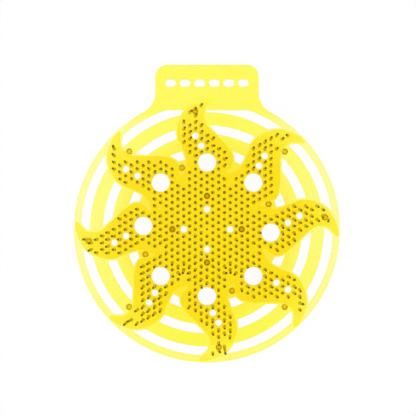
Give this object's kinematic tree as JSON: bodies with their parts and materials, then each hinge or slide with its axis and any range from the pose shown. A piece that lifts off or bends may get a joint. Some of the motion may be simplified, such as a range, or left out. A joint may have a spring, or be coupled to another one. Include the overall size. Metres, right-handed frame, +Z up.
{
  "type": "urinal deodorizer screen",
  "caption": "Flat round one-piece urinal screen of soft scented plastic, with a grip tab, ring slots, drain holes and a raised star of splash-breaking pins.",
  "frame": {"origin": "centre of the overall outline, at the underside of the feet", "axes": "+Y towards the grip tab, +Z up towards the tips of the pins"},
  "size_m": [0.17, 0.19, 0.0148],
  "materials": {
    "screen": "satin, translucent yellow scented EVA, deeper in colour where it is thicker"
  },
  "bodies": {
    "root": {"screen": "screen"}
  },
  "joints": []
}
